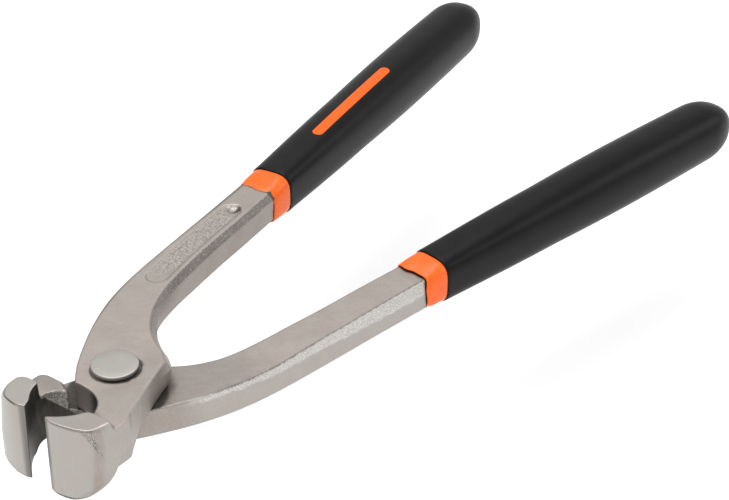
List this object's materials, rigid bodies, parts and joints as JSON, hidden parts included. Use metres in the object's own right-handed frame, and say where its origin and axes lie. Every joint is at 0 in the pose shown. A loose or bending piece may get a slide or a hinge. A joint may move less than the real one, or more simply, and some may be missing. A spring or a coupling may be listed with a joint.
{
  "type": "end cutting pincers",
  "caption": "End-cutting pincers: stacked forged steel levers on a rivet, wide jaws with front cutting edges, black dipped handles with orange collars.",
  "frame": {"origin": "centre of the rivet joint, on the plane where the two levers meet", "axes": "+X from the rivet towards the handles, along the tool's middle line; +Z along the rivet, on the side of the lever with the upper cheek; +Y towards that lever's handle"},
  "size_m": [0.2546, 0.1116, 0.0254],
  "materials": {
    "lever_steel": "satin nickel-like forged steel, ground on the jaw fronts and ends",
    "rivet_steel": "smooth satin pressed head",
    "collar": "glossy orange moulded plastic",
    "grip": "soft satin black dipped vinyl"
  },
  "bodies": {
    "lower_half": {"lower_lever": "lever_steel", "pivot_rivet": "rivet_steel", "lower_sleeve": "collar", "lower_grip": "grip"},
    "upper_half": {"upper_lever": "lever_steel", "upper_sleeve": "collar", "upper_grip": "grip"}
  },
  "joints": [
    {"name": "pivot", "type": "hinge", "parent": "lower_half", "child": "upper_half", "pos_m": [0, 0, 0], "axis": [0, 0, 1], "range_deg": [-13.1, 28]}
  ]
}
